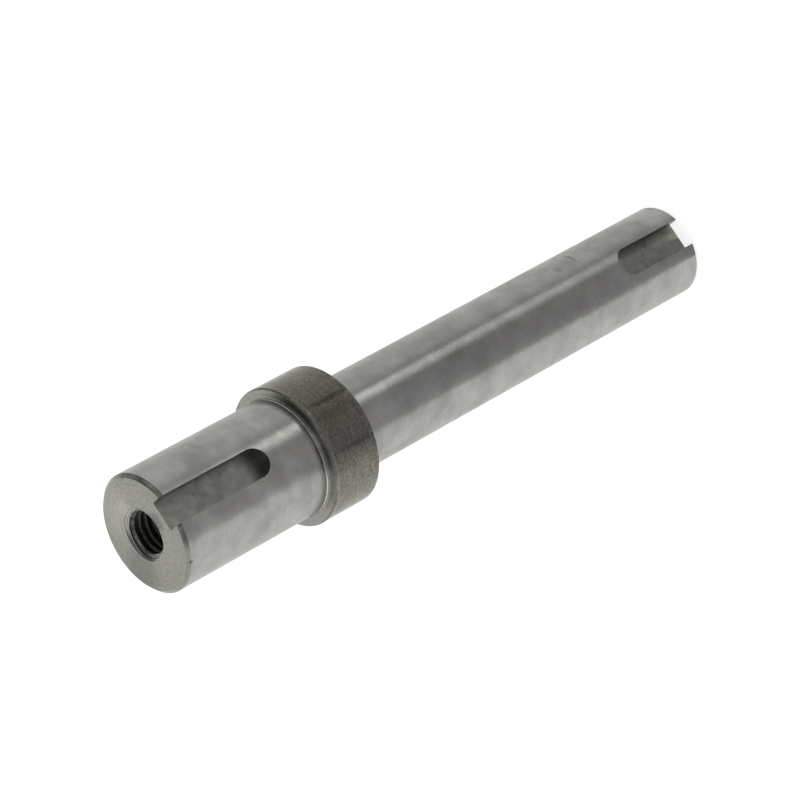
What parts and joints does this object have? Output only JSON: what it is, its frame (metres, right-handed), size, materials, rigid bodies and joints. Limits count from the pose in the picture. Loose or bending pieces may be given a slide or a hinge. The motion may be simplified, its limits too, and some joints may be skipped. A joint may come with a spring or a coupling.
{
  "type": "stepped drive shaft",
  "caption": "Turned and ground steel drive shaft: a collar between a short tapped journal and a long journal, each with a keyway open at its end, to carry a hub and a pulley.",
  "frame": {"origin": "centre of the lower end face, the one on the long journal, which the shaft stands on", "axes": "+Z along the shaft's axis towards the tapped end; both keyways face -Y"},
  "size_m": [0.0283, 0.0282, 0.1427],
  "materials": {
    "steel": "ground journals, collar and end faces left as turned, milled keyways"
  },
  "bodies": {
    "root": {"shaft": "steel"}
  },
  "joints": []
}
